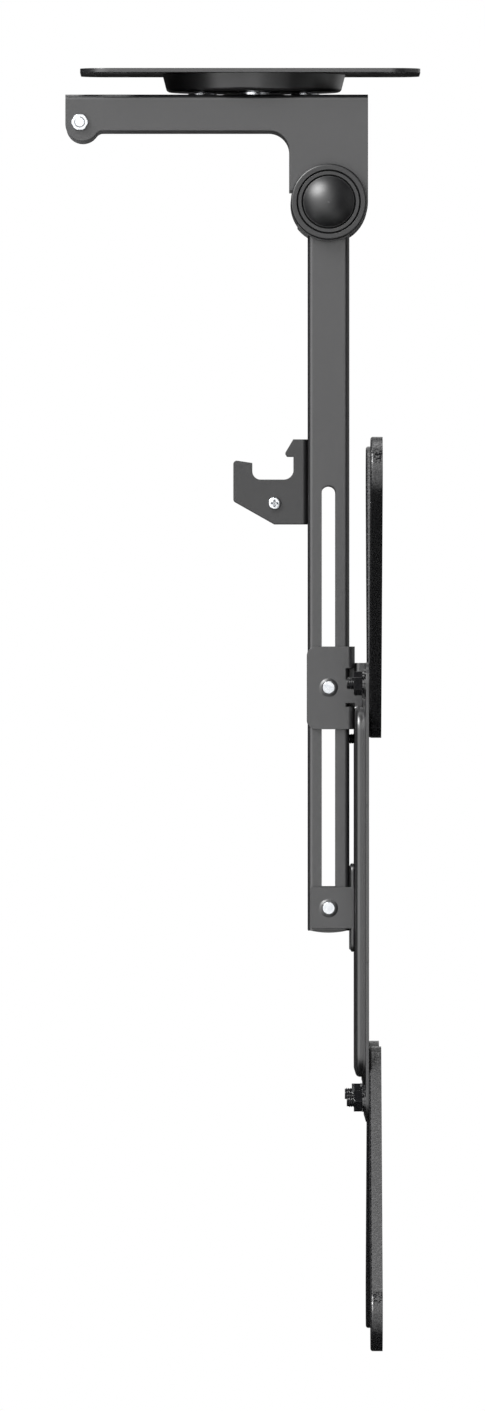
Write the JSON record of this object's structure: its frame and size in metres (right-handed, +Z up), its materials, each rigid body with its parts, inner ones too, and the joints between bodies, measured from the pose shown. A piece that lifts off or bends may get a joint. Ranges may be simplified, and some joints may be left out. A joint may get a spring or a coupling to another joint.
{
  "type": "tv ceiling mount",
  "caption": "Folding ceiling mount for a flat screen: swivel plate, folded hanger, sliding arm with latch hook and a screen plate with slotted arms.",
  "frame": {"origin": "on the swivel axis, at the face of the ceiling plate that lies on the ceiling", "axes": "+Z up into the ceiling, +X towards the side where the screen is fastened"},
  "size_m": [0.1711, 0.434, 0.6144],
  "materials": {
    "powder_coat": "semi-matt black powder coat on folded steel sheet",
    "moulded_plastic": "moulded black plastic with a low sheen",
    "zinc_plate": "bright zinc plated steel",
    "washer_plastic": "plain natural nylon"
  },
  "bodies": {
    "ceiling": {"ceiling_plate": "powder_coat", "pivot_bolt": "zinc_plate", "pivot_pad": "washer_plastic", "pivot_lower_pad": "washer_plastic", "pivot_washer": "zinc_plate", "pivot_nut": "zinc_plate"},
    "hanger": {"swivel_disc": "powder_coat", "swivel_cover": "moulded_plastic", "swivel_standoffs": "zinc_plate", "swivel_screws": "zinc_plate", "hanger_bracket": "powder_coat", "catch_bolt": "zinc_plate", "catch_sleeve": "zinc_plate", "catch_nuts": "zinc_plate", "hinge_bolt": "zinc_plate", "hinge_nut": "zinc_plate", "hinge_washers": "zinc_plate", "hinge_discs": "washer_plastic", "hinge_cap_near": "moulded_plastic", "hinge_cap_far": "moulded_plastic"},
    "arm": {"arm_tube": "powder_coat", "hinge_sleeve": "zinc_plate", "tube_end_cap": "moulded_plastic", "latch_hook": "powder_coat", "hook_spacer": "zinc_plate", "hook_screws": "zinc_plate", "hook_rivets": "powder_coat"},
    "head": {"carriage": "powder_coat", "carriage_liner": "moulded_plastic", "upper_guide_pin": "zinc_plate", "lower_guide_pin": "zinc_plate", "lower_bracket": "powder_coat", "lower_liner": "moulded_plastic", "back_pan": "powder_coat", "lock_screw": "powder_coat", "lock_nut": "powder_coat", "top_bracket": "powder_coat", "screen_plate": "powder_coat", "arm_bolts": "powder_coat", "arm_washers": "powder_coat", "arm_spring_washers": "powder_coat", "arm_nuts": "powder_coat"},
    "upper_near": {"upper_near_arm": "powder_coat"},
    "upper_far": {"upper_far_arm": "powder_coat"},
    "lower_near": {"lower_near_arm": "powder_coat"},
    "lower_far": {"lower_far_arm": "powder_coat"}
  },
  "joints": [
    {"name": "swivel", "type": "hinge", "parent": "ceiling", "child": "hanger", "pos_m": [0, 0, 0], "axis": [0, 0, 1], "range_deg": [-180, 180]},
    {"name": "fold", "type": "hinge", "parent": "hanger", "child": "arm", "pos_m": [0.03605, 0, -0.06425], "axis": [0, 1, 0], "range_deg": [0, 95]},
    {"name": "height", "type": "slide", "parent": "arm", "child": "head", "axis": [0, 0, 1], "range_m": [0, 0.0935]},
    {"name": "upper_near_turn", "type": "hinge", "parent": "head", "child": "upper_near", "pos_m": [0.05518, -0.1, -0.2964], "axis": [1, 0, 0], "range_deg": [-45, 45]},
    {"name": "upper_far_turn", "type": "hinge", "parent": "head", "child": "upper_far", "pos_m": [0.05518, 0.1, -0.2964], "axis": [1, 0, 0], "range_deg": [-45, 45]},
    {"name": "lower_near_turn", "type": "hinge", "parent": "head", "child": "lower_near", "pos_m": [0.05518, -0.1, -0.4964], "axis": [1, 0, 0], "range_deg": [-45, 45]},
    {"name": "lower_far_turn", "type": "hinge", "parent": "head", "child": "lower_far", "pos_m": [0.05518, 0.1, -0.4964], "axis": [1, 0, 0], "range_deg": [-45, 45]}
  ]
}
